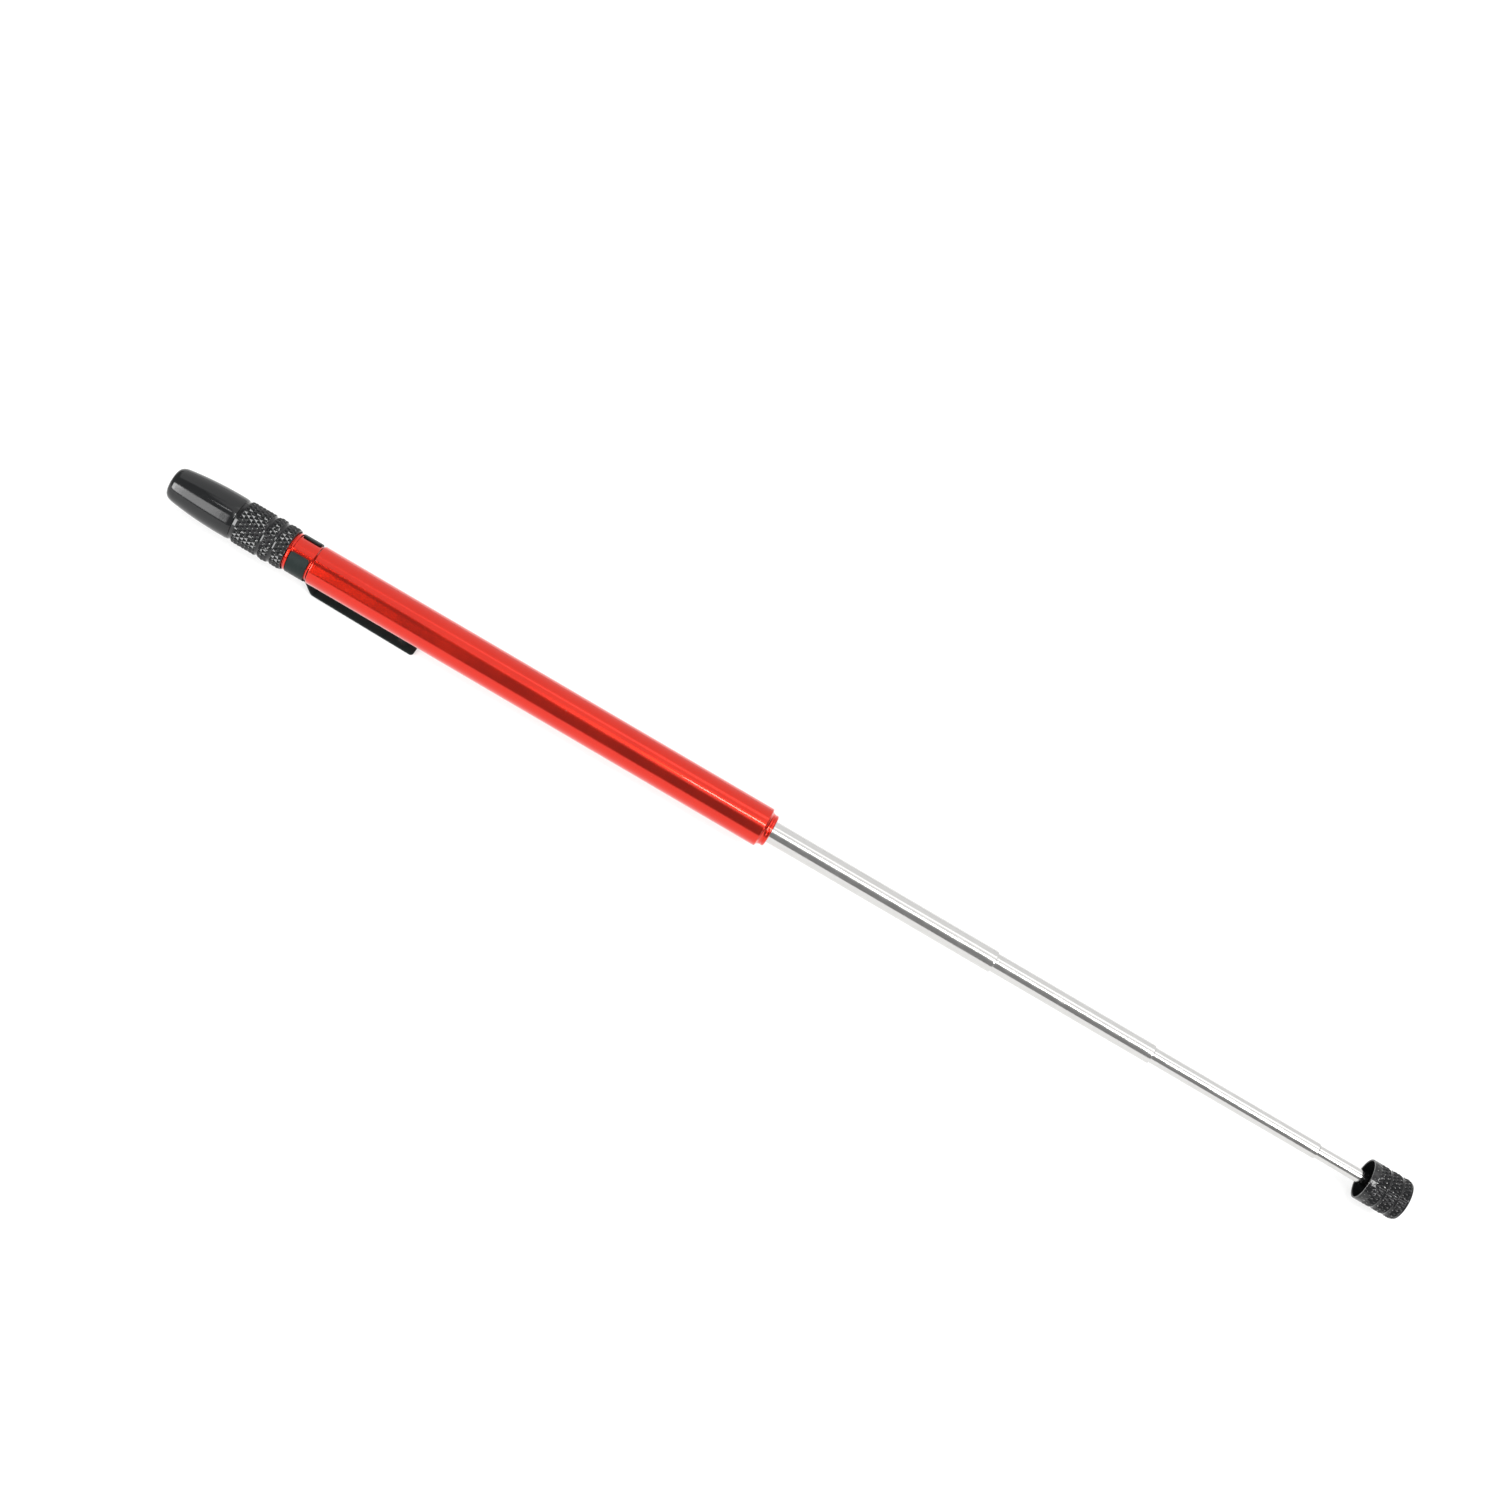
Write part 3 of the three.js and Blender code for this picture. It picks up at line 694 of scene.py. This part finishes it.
def led_leads():
    """Each lead runs straight back through the holder, and its foot is bent down behind it: the anode's
    goes just past the axis, to the contact button, and the cathode's to the lower end of its CAD node."""
    holder_rear = span("led_holder")[1]
    turns = [math.pi / 2 * k / 6 for k in range(7)]
    for node in ("led_anode_lead", "led_cathode_lead"):
        start, end, _ = span(node)
        low, high = ((corner.z - AXIS_Z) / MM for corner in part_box(node))
        height = high - LEAD_WIDTH / 2
        foot = ANODE_FOOT if node == "led_anode_lead" else low
        bend = end - LEAD_SHEET / 2
        route = [(start, 0, height), (holder_rear - 0.5, 0, height)]
        route += [
            (bend - LEAD_BEND * (1 - math.sin(a)), 0, height - LEAD_BEND * (1 - math.cos(a)))
            for a in turns
        ]
        route.append((bend, 0, foot))
        section = bar_section(LEAD_SHEET, LEAD_WIDTH, 0.06)
        stands_for(swept(f"{node}_wire", route, section, (0, 1, 0), 0.04), node)


def led_holder():
    """A moulded disc with a rim, and two holes for the leads, countersunk at both faces."""
    start, end, radius = span("led_holder")
    disc = lathed("led_holder_disc", [
        (start, 0), (start, radius - 0.9), (start + 0.25, radius - 1.0, 0.1),
        (start + 0.25, radius - 0.6, 0.1), (start, radius - 0.5, 0.1), (start, radius, 0.15),
        (end, radius, 0.15), (end, 0),
    ])
    wide, narrow = 0.6, 0.42
    before, after = start - 0.1, end + 0.1
    drill = [
        (before, 0, 0), (before, wide, 0), (start + 0.3, narrow, 0), (end - 0.2, narrow, 0),
        (after, wide, 0), (after, 0, 0),
    ]
    for side in (-1, 1):
        cutter = turned("drill", drill, 32, closed=False)
        cutter.data.transform(Matrix.Translation((0, 0, side * LEAD_OFFSET * MM)))
        cut = disc.modifiers.new("hole", "BOOLEAN")
        cut.object = cutter
        cut.solver = "EXACT"
        apply_modifiers(disc)
        bpy.data.objects.remove(cutter)
    stands_for(disc, "led_holder")


def apply_modifiers(piece):
    """Turns what a piece's modifiers make into its own mesh."""
    bpy.context.view_layer.update()
    shown = piece.evaluated_get(bpy.context.evaluated_depsgraph_get())
    mesh = bpy.data.meshes.new_from_object(shown)
    piece.modifiers.clear()
    piece.data = mesh


def contact_button():
    start, end, radius = span("contact_button")
    button = lathed("contact_button_turned", [
        (start, 0), (start, 0.5, 0.1), (start + 0.08, 0.6, 0.05), (start + 0.08, radius, 0.06),
        (end - 0.2, radius, 0.08), (end, 0.7, 0.15), (end, 0),
    ], 64)
    stands_for(button, "contact_button")


# ---- Battery bay ----

def button_cell(node):
    """A steel can crimped over a nylon gasket, and a smaller cap towards the spring."""
    start, end, radius = span(node)
    can = lathed(f"{node}_can", [
        (start, 0), (start, 2.9, 0.1), (start + 0.04, 3.05, 0.05), (start + 0.04, 3.4, 0.05),
        (start, 3.5, 0.05), (start, radius, 0.3), (end - 0.35, radius, 0.25),
        (end - 0.33, radius - 0.45, 0.05), (end - 0.55, radius - 0.5), (end - 0.55, 3.15),
        (end - 0.3, 3.12), (end, 3.0, 0.2), (end, 2.1, 0.1), (end - 0.03, 2.0, 0.05), (end - 0.03, 0),
    ])
    stands_for(can, node)
    gasket = lathed(f"{node}_gasket", [
        (end - 0.5, 3.17), (end - 0.5, 3.43), (end - 0.3, 3.43, 0.08), (end - 0.3, 3.17, 0.08),
    ], 64)
    dress(gasket, BODY[node], "white_plastic")


def battery_sleeve():
    """An insulating tube, with a lip in front that keeps the cells in."""
    start, end, radius = span("battery_sleeve")
    bore = span("cell_1")[2] + 0.035
    lip, lip_rear = 2.6, span("cell_1")[0] - 0.05
    sleeve = lathed("battery_sleeve_tube", [
        (start, radius, 0.06), (end, radius, 0.05), (end, bore, 0.03), (lip_rear, bore),
        (lip_rear, lip, 0.08), (start, lip, 0.08),
    ])
    stands_for(sleeve, "battery_sleeve")


def battery_spring():
    """A coil with closer turns at its ends, which are ground flat."""
    start, end, outside = span("battery_spring")
    wire, turns, closing, steps = 0.22, 4.5, 0.7, 260
    radius = outside - wire
    path = []
    for k in range(steps + 1):
        t = k / steps
        along = t - closing * math.sin(TAU * t) / TAU
        angle = TAU * turns * t
        station = start + wire + (end - start - 2 * wire) * along
        path.append((station, radius * math.cos(angle), radius * math.sin(angle)))
    spring = swept("battery_spring_coil", path, wire_section(wire, 14), (1, 0, 0), 0.04)
    low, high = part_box("battery_spring")
    ground = 0.05 * MM
    for vertex in spring.data.vertices:
        vertex.co.x = min(max(vertex.co.x, low.x + ground), high.x - ground)
    stands_for(spring, "battery_spring")


def bulkhead_plug():
    """The wall behind the cells, with a boss for the spring, a groove round its rim and a centre mark."""
    start, end, radius = span("bulkhead_plug")
    boss = 2.2
    flange = start + 1.3
    plug = lathed("bulkhead_plug_turned", [
        (start, 0), (start, boss - 0.3, 0.1), (start + 0.3, boss, 0.1), (flange, boss, 0.15),
        (flange, radius, 0.12), (end - 0.8, radius, 0.05), (end - 0.7, radius - 0.15, 0.05),
        (end - 0.5, radius - 0.15, 0.05), (end - 0.4, radius, 0.05), (end, radius, 0.15),
        (end, 1.0, 0.1), (end - 0.5, 0.5, 0.1), (end - 0.5, 0),
    ])
    stands_for(plug, "bulkhead_plug")


# ---- Barrel ----

COLLAR_START = 30.2
COLLAR_RADIUS = 4.55
GROOVE_END = 36.0
GROOVE_RADIUS = 4.22
SPIGOT_RADIUS = 4.48
SPIGOT_RELIEF = 0.14
SPIGOT_BORE = 4.145
BARREL_BORE = 4.0
BAY_DIVIDE = 30.65
NOSE_LENGTH = 1.8
NOSE_STEP = 0.9
THREAD_DEPTH = 0.12
THREAD_ROWS = 10


def thread_rows(start, end, crest, columns):
    """Rows of a screw thread with flat crests and roots, fading out at both ends. Its form is 1 on a
    crest and 0 in a root."""
    angles = np.arange(columns) / columns
    rows = []
    for k in range(int((end - start) / THREAD_PITCH * THREAD_ROWS) + 1):
        station = start + k * THREAD_PITCH / THREAD_ROWS
        share = (k / THREAD_ROWS - angles) % 1
        form = np.clip(2.6 * (1 - abs(2 * share - 1)) - 0.8, 0, 1)
        fade = min(1, 2 * (station - start), 2 * (end - station))
        radius = crest - THREAD_DEPTH * (1 - form) * max(fade, 0)
        rows.append((station, radius, 0.8 * (form > 0.99) * fade))
    return rows


def barrel():
    """A threaded spigot, a collar, the clip's groove, the long plain tube and a stepped nose."""
    spigot, face, radius = span("barrel")
    groove_start = span("bulkhead_plug")[0] + 1.35
    relief = SPIGOT_RADIUS - SPIGOT_RELIEF
    nose_start, nose = face - NOSE_LENGTH, radius - NOSE_STEP
    shoulder = (nose_start, radius - 0.12)
    lip = span("tube_1")[2] + 0.075
    columns = 128
    outside = [
        (COLLAR_START - 0.5, relief, 0.05), (COLLAR_START, relief, 0.05),
        (COLLAR_START, COLLAR_RADIUS, 0.16, 0.6), (groove_start - 0.04, COLLAR_RADIUS, 0.07, 0.6),
        (groove_start + 0.04, GROOVE_RADIUS, 0.12), (GROOVE_END, GROOVE_RADIUS, 0.12),
        (GROOVE_END + 0.02, radius - 0.3, 0.05), (GROOVE_END + 0.35, radius, 0.12, 0.6),
        (nose_start - 0.1, radius, 0.06, 0.8), (*shoulder, 0.05),
        *arc_between(shoulder, (nose_start + 0.25, nose + 0.1), (face - 1, nose), 10),
        (face - 0.9, nose, 0.03), (face - 0.8, nose - 0.08, 0.03), (face - 0.7, nose, 0.03),
        (face - 0.4, nose, 0.08),
        *arc_between((face - 0.4, nose), (face, nose - 0.05), (face, nose - 0.5), 8),
        (face, lip + 0.045, 0.04),
    ]
    inside = [
        (face - 0.1, lip), (face - 2.6, lip), (face - 2.6, BARREL_BORE), (BAY_DIVIDE, BARREL_BORE),
        (BAY_DIVIDE, SPIGOT_BORE), (spigot, SPIGOT_BORE, 0.06),
    ]
    rows = [(spigot, SPIGOT_RADIUS - 0.2, 0.0), (spigot + 0.04, SPIGOT_RADIUS - 0.16, 0.0)]
    rows += thread_rows(spigot + 0.1, COLLAR_START - 0.55, SPIGOT_RADIUS, columns)
    rows += rounded(outside + inside, closed=False)
    stands_for(turned("barrel_tube", rows, columns), "barrel")


def nose_bush():
    start, end, radius = span("nose_bush")
    tube_radius = span("tube_1")[2]
    bore = tube_radius + 0.045
    stands_for(lathed("nose_bush_turned", [
        (start, radius - 0.1), (start + 0.15, radius, 0.06), (end - 0.1, radius, 0.05), (end, radius - 0.1),
        (end, tube_radius + 0.2), (end - 0.2, bore, 0.05), (start + 0.2, bore, 0.05),
        (start, tube_radius + 0.25, 0.05),
    ]), "nose_bush")


# ---- Pocket clip ----

CLIP_SHEET = 0.41
CLIP_GAP = math.radians(68)
CLIP_RING_WIDTH = 4.55
CLIP_BEND_RUN = 2.4
CLIP_HALF_WIDTH = 2.9
CLIP_RISE = 0.67
CLIP_CORNER = 0.8
CLIP_FILLET = 0.55
CLIP_END_ROUND = 0.5
DIMPLE_FROM_TIP = 3.5
DIMPLE_RADIUS = 2
DIMPLE_HEIGHT = 1.0


def clip_depth(past, run, tip_depth, ring_radius):
    """Depth of the arm's outer face so far past the ring: a soft double bend, then a slope to the tip."""
    slope = CLIP_RISE / (run - CLIP_BEND_RUN)
    bend_depth = tip_depth - CLIP_RISE
    if past >= CLIP_BEND_RUN:
        return bend_depth + slope * (past - CLIP_BEND_RUN)
    t = past / CLIP_BEND_RUN
    eased = 0.5 * t + 0.5 * (3 * t ** 2 - 2 * t ** 3)
    return ring_radius + (bend_depth - ring_radius) * eased


def sag(radius, along):
    """How far a circle has dropped away from its tangent, so far along it."""
    return radius - math.sqrt(max(radius ** 2 - along ** 2, 0))


def clip_columns(radius):
    """The columns of the clip's grid: those across the arm, and all of them as lengths round the ring
    from its bottom, closer together in the fillets beside the arm and at the ring's ends. Then the
    lengths where the arm's side and the ring's end are."""
    arm = [CLIP_HALF_WIDTH * math.sin(math.pi / 2 * k / 8) for k in range(-8, 9)]
    side = radius * math.asin(CLIP_HALF_WIDTH / radius)
    last = radius * (math.pi - CLIP_GAP / 2)
    beyond = [
        *[side + d for d in (0.05, 0.13, 0.24, 0.38, CLIP_FILLET)],
        *np.linspace(side + 1, last - CLIP_END_ROUND, 22),
        *[last - d for d in (0.3, 0.14, 0.04, 0.0)],
    ]
    wraps = [-w for w in reversed(beyond)] + [radius * math.asin(a / radius) for a in arm] + beyond
    return arm, wraps, side, last


def strips(rows):
    """Four-sided faces between each row of points and the next one."""
    return [(a[j], b[j], b[j + 1], a[j + 1]) for a, b in zip(rows, rows[1:]) for j in range(len(a) - 1)]


def clip_ring(points, wraps, side, last, start, radius):
    """Adds the ring's points and gives its rows: rounded off at the gap, with a fillet beside the arm."""
    rows = []
    for share in (0, 0.02, 0.1, 0.35, 0.65, 0.9, 0.98, 1):
        rows.append(range(len(points), len(points) + len(wraps)))
        for wrap in wraps:
            cut = sag(CLIP_END_ROUND, max(CLIP_END_ROUND - (last - abs(wrap)), 0))
            past = abs(wrap) - side
            web = sag(CLIP_FILLET, CLIP_FILLET - past) if 0 < past < CLIP_FILLET else 0
            low, high = start + cut, start + CLIP_RING_WIDTH - cut + web
            angle = wrap / radius - math.pi / 2
            points.append((low + share * (high - low), radius * math.cos(angle), radius * math.sin(angle)))
    return rows


def clip_arm(points, arm, start, tip, radius):
    """Adds the arm's points and gives its rows: its curl flattens out past the ring, its corners are
    round, and a dimple near its tip is pressed in towards the barrel."""
    run = tip - start
    tip_depth = (AXIS_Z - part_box("pocket_clip")[0].z) / MM
    dimple = tip - DIMPLE_FROM_TIP
    rows = []
    for past in [
        *np.linspace(0.3, CLIP_BEND_RUN + 1, 18), *np.linspace(CLIP_BEND_RUN + 1.5, run - CLIP_CORNER, 44),
        *[run - CLIP_CORNER * (1 - math.sin(math.pi / 2 * k / 6)) for k in range(1, 7)],
    ]:
        into_corner = min(max(past - (run - CLIP_CORNER), 0), CLIP_CORNER)
        narrowed = 1 - sag(CLIP_CORNER, into_corner) / CLIP_HALF_WIDTH
        flat = min(max((past + 0.2) / (CLIP_BEND_RUN + 1), 0), 1)
        curl = 1 - flat * flat * (3 - 2 * flat)
        depth = clip_depth(past, run, tip_depth, radius)
        rows.append(range(len(points), len(points) + len(arm)))
        for across in arm:
            y = across * narrowed
            near = min(math.hypot(start + past - dimple, y) / DIMPLE_RADIUS, 1)
            pressed = DIMPLE_HEIGHT * (1 - near ** 2) ** 2
            points.append((start + past, y, curl * sag(radius, y) + pressed - depth))
    return rows


def thicken(piece, thickness, edge):
    """Gives a sheet its thickness, towards its inside, and rounds its edges."""
    sheet = piece.modifiers.new("sheet", "SOLIDIFY")
    sheet.thickness = thickness * MM
    sheet.offset = -1
    sheet.use_even_offset = True
    edges = piece.modifiers.new("edges", "BEVEL")
    edges.width = edge * MM
    edges.segments = 3
    edges.limit_method = "ANGLE"
    edges.angle_limit = math.radians(50)
    apply_modifiers(piece)


def pocket_clip():
    """One strip of sheet: a grid of points wraps round the barrel as the ring, and its middle columns go
    on as the arm."""
    start, tip, _ = span("pocket_clip")
    radius = GROOVE_RADIUS + 0.05 + CLIP_SHEET
    arm, wraps, side, last = clip_columns(radius)
    first_arm = (len(wraps) - len(arm)) // 2
    points = []
    ring = clip_ring(points, wraps, side, last, start, radius)
    root = ring[-1][first_arm:first_arm + len(arm)]
    rows = [root, *clip_arm(points, arm, start + CLIP_RING_WIDTH, tip, radius)]
    clip = new_piece("pocket_clip_sheet", points, strips(ring) + strips(rows))
    tidy_normals(clip)
    middle = clip.data.polygons[first_arm]
    if middle.normal.dot(middle.center - Vector((middle.center.x, 0, AXIS_Z))) < 0:
        clip.data.flip_normals()
    thicken(clip, CLIP_SHEET, 0.09)
    mark_wear(clip)
    stands_for(clip, "pocket_clip")


# Wear for each unit of bend, where bend is 1 less the cosine of the angle between normals
WEAR_PER_BEND = 12


def mark_wear(piece):
    """Gives wear to the points where a mesh bends sharply, from the normals of the faces around them."""
    mesh = piece.data
    bend = np.zeros(len(mesh.vertices))
    for face in mesh.polygons:
        for v in face.vertices:
            bend[v] = max(bend[v], 1 - mesh.vertices[v].normal.dot(face.normal))
    set_wear(mesh, np.clip(bend * WEAR_PER_BEND, 0, 1))


# ---- Telescoping sections ----

SECTIONS = 4
TUBE_WALL = 0.2
NECK_DEPTH = 0.12
NECK_LENGTH = 4.0
MOUTH_LIP = 0.7
TAIL_BEAD = 0.6


def tube(number):
    """A section with a necked tail, except the first, and a mouth rolled in over the next one."""
    node = f"tube_{number}"
    start, end, radius = span(node)
    bore = radius - TUBE_WALL
    if number == SECTIONS:
        front = [(end, radius, 0.03), (end, bore)]
    else:
        lip = span(f"tube_{number + 1}")[2] + 0.09
        front = [
            (end - 0.5, radius), (end - 0.3, radius - 0.01), (end, radius - 0.06, 0.2), (end, lip, 0.05),
            (end - MOUTH_LIP, lip, 0.05), (end - MOUTH_LIP - 0.1, bore),
        ]
    if number == 1:
        tail, inner_tail = [(start, radius, 0.05)], [(start, bore, 0.05)]
    else:
        neck, neck_end = start + TAIL_BEAD, start + TAIL_BEAD + NECK_LENGTH
        tail = [
            (start, radius - 0.04, 0.06), (neck, radius - 0.04, 0.06),
            (neck + 0.02, radius - NECK_DEPTH, 0.04), (neck_end, radius - NECK_DEPTH, 0.1),
            (neck_end + 0.18, radius, 0.1),
        ]
        inner_tail = [
            (neck_end + 0.3, bore, 0.1), (neck_end, bore - NECK_DEPTH, 0.1), (start, bore - NECK_DEPTH, 0.03),
        ]
    stands_for(lathed(f"{node}_drawn", tail + front + inner_tail, 112), node)


def tail_bush():
    """The bush at the first section's tail, with the friction ring in its groove."""
    start, end, radius = span("tail_bush")
    groove_start, groove_end = start + 2, start + 4
    floor = radius - 0.55
    bore = span("tube_1")[2] + 0.04
    stands_for(lathed("tail_bush_turned", [
        (start, radius - 0.15, 0.05), (start + 0.2, radius, 0.06), (groove_start, radius, 0.04),
        (groove_start, floor, 0.03), (groove_end, floor, 0.03), (groove_end, radius, 0.04),
        (end - 0.2, radius, 0.06), (end, radius - 0.15, 0.05), (end, bore, 0.05), (start, bore, 0.05),
    ]), "tail_bush")
    split_ring("friction_ring_strip", "friction_ring", floor + 0.04, 0.3)


def sections():
    for number in range(1, SECTIONS + 1):
        tube(number)
    tail_bush()
    for number in range(2, SECTIONS + 1):
        bore = span(f"tube_{number}")[2] - NECK_DEPTH + 0.04
        split_ring(f"slip_spring_{number}_strip", f"slip_spring_{number}", bore, 0.5)


# ---- Magnet end ----

CAP_DIAMONDS = 28
CAP_COLUMNS = 10 * CAP_DIAMONDS
CAP_VALLEY = 0.08
CAP_CHAMFER = 0.18
CAP_FADE = 2.0
CUP_RADIUS = 4.42
CUP_DEPTH = 4.6
MAGNET_POCKET = 4.05
RIVET_POCKET = 2.5


def magnet_cap():
    """Three knurled bands with turned grooves between them, and a cup for the barrel's nose."""
    rear, front, band = span("magnet_cap")
    foot = band - KNURL_FOOT
    bands = [(rear + 0.7, rear + 4.15), (rear + 4.65, rear + 7.2), (rear + 7.7, front - 0.55)]
    rim = [(rear, CUP_RADIUS + 0.1), (rear, band - 0.03, 0.1, 1.0), (bands[0][0] - 0.1, band - 0.01)]
    rows = rounded(rim, closed=False)
    for i, (start, end) in enumerate(bands):
        fade = CAP_FADE if i == 0 else 0.0
        rows += knurled_band([(start, band), (end, band)], CAP_DIAMONDS, CAP_COLUMNS, CAP_CHAMFER, fade)
        if i + 1 < len(bands):
            rows += valley(end, bands[i + 1][0], foot, CAP_VALLEY)
    web, cup_floor = span("tube_4")[1], rear + CUP_DEPTH
    tube_fit = span("tube_4")[2] + 0.04
    rivet_front = span("cap_rivet")[1] + 0.03
    rows += rounded([
        (front - 0.5, foot), *arc_between((front - 0.5, foot), (front, foot), (front, foot - 0.35), 6),
        (front, MAGNET_POCKET + 0.06, 0.04, 0.7), (front - 0.06, MAGNET_POCKET),
        (rivet_front, MAGNET_POCKET), (rivet_front, RIVET_POCKET), (web, RIVET_POCKET), (web, tube_fit),
        (cup_floor + 0.1, tube_fit), (cup_floor, tube_fit + 0.1, 0.05),
        (cup_floor, CUP_RADIUS, 0.3), (rear + 0.12, CUP_RADIUS, 0.06),
    ], closed=False)
    stands_for(turned("magnet_cap_knurled", rows, CAP_COLUMNS), "magnet_cap")


def cap_rivet():
    """The rivet's shank is inside the last section, and its head is on the front of the cap's web."""
    start, end, radius = span("cap_rivet")
    web = span("tube_4")[1] + 0.03
    shank = span("tube_4")[2] - TUBE_WALL - 0.04
    stands_for(lathed("cap_rivet_turned", [
        (start, 0), (start, shank - 0.25, 0.1), (start + 0.3, shank, 0.1), (web, shank, 0.05),
        (web, radius, 0.08), (end, radius, 0.2), (end, 0),
    ], 64), "cap_rivet")


def magnet_backing_plate():
    start, end, radius = span("magnet_backing_plate")
    stands_for(lathed("magnet_backing_disc", [
        (start, 0), (start, radius, 0.06), (end, radius, 0.06), (end, 0),
    ]), "magnet_backing_plate")


def magnet():
    start, end, radius = span("magnet")
    stands_for(lathed("magnet_disc", [
        (start, 0), (start, radius, 0.1), (end - 0.16, radius, 0.06), (end, radius - 0.16, 0.06), (end, 0),
    ]), "magnet")


# ---- The scene ----

add_camera()
add_lights()
add_world()
add_floor()
bpy.context.scene.view_settings.view_transform = "Standard"

FINISHES = {
    "black_anodised": black_anodised(),
    "clear_epoxy": clear_epoxy(),
    "spring_steel": spring_metal("spring_steel", (0.50, 0.51, 0.52), (0.38, 0.39, 0.40)),
    "white_plastic": moulded_plastic("white_plastic", (0.80, 0.79, 0.75), (0.72, 0.71, 0.67)),
    "turned_brass": turned_brass(),
    "nickel_plate": nickel_plate(),
    "red_anodised": red_anodised(),
    "black_paint": black_paint(),
    "chrome_plate": chrome_plate(),
    "bronze_spring": spring_metal("bronze_spring", (0.56, 0.32, 0.15), (0.42, 0.22, 0.10)),
    "black_steel": black_steel(),
}
PHOSPHOR = phosphor()

torch_head()
led()
led_leads()
led_holder()
contact_button()
for number in (1, 2, 3):
    button_cell(f"cell_{number}")
battery_sleeve()
battery_spring()
bulkhead_plug()
barrel()
nose_bush()
pocket_clip()
sections()
magnet_cap()
cap_rivet()
magnet_backing_plate()
magnet()
